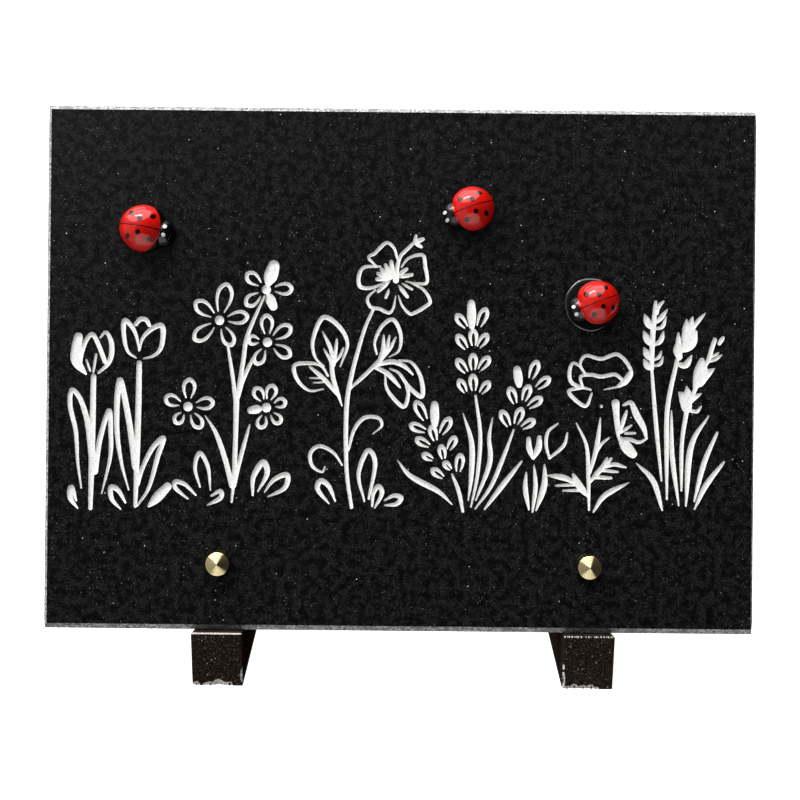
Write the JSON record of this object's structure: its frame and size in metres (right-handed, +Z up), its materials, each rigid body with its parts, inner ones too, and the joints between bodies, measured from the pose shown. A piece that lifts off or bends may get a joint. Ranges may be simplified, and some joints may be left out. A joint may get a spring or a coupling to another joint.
{
  "type": "granite grave plaque",
  "caption": "Black granite grave plaque with a cut row of wild flowers and glazed ladybirds, leaning back on notched granite feet and held by brass screws.",
  "frame": {"origin": "middle of the ground that the plaque and its feet cover, on the feet's undersides", "axes": "the polished face looks towards -Y and leans back 15 degrees, +X is to its right as seen from the front, +Z is up"},
  "size_m": [0.28, 0.08, 0.2209],
  "materials": {
    "polished_granite": "black granite, polished in front, with white painted flowers cut in and a grey sawn chamfer",
    "foot_granite": "black granite, satin, with light arrises and chipped lower edges",
    "brass": "turned and polished",
    "ladybird_glaze": "red glaze with black spots, a black head and white eyes",
    "glue": "clear dark glue, glossy"
  },
  "bodies": {
    "root": {"plaque": "polished_granite", "foot_left": "foot_granite", "foot_right": "foot_granite", "brass_screw_left": "brass", "brass_screw_right": "brass", "ladybird_left": "ladybird_glaze", "ladybird_middle": "ladybird_glaze", "ladybird_right": "ladybird_glaze", "glue_pad": "glue"}
  },
  "joints": []
}
